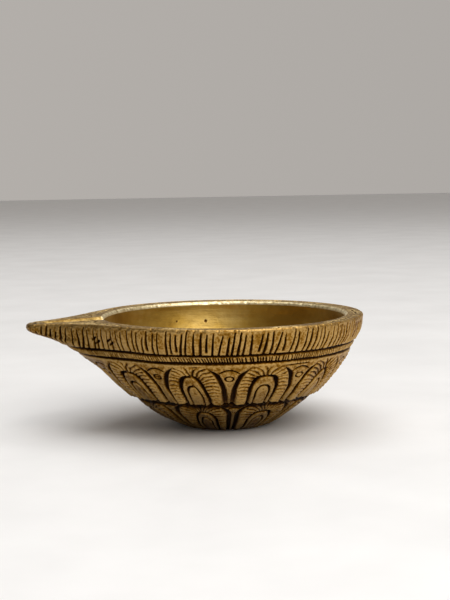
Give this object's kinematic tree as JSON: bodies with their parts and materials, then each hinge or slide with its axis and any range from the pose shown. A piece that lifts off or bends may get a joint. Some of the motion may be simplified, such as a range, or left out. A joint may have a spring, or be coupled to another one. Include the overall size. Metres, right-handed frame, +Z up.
{
  "type": "diya oil lamp",
  "caption": "Small hand-held cast brass oil lamp: a round bowl with a pointed spout, chased with notches and petals, holding a loose twisted cotton wick.",
  "frame": {"origin": "centre of the flat base, on the axis of the round well", "axes": "+Z up out of the well, -X along the spout, towards its tip; the lamp is symmetrical about the XZ plane"},
  "size_m": [0.1002, 0.083, 0.033],
  "materials": {
    "antique_brass": "antiqued: dark brown patina in the chased grooves, worn satin brass on the high spots and inside the well",
    "cotton": "matt twisted raw cotton"
  },
  "bodies": {
    "lamp": {"cast_bowl": "antique_brass"},
    "wick": {"cotton_wick": "cotton"}
  },
  "joints": [
    {"name": "wick_lift", "type": "slide", "parent": "lamp", "child": "wick", "axis": [0, 0, 1], "range_m": [0, 0.045]}
  ]
}
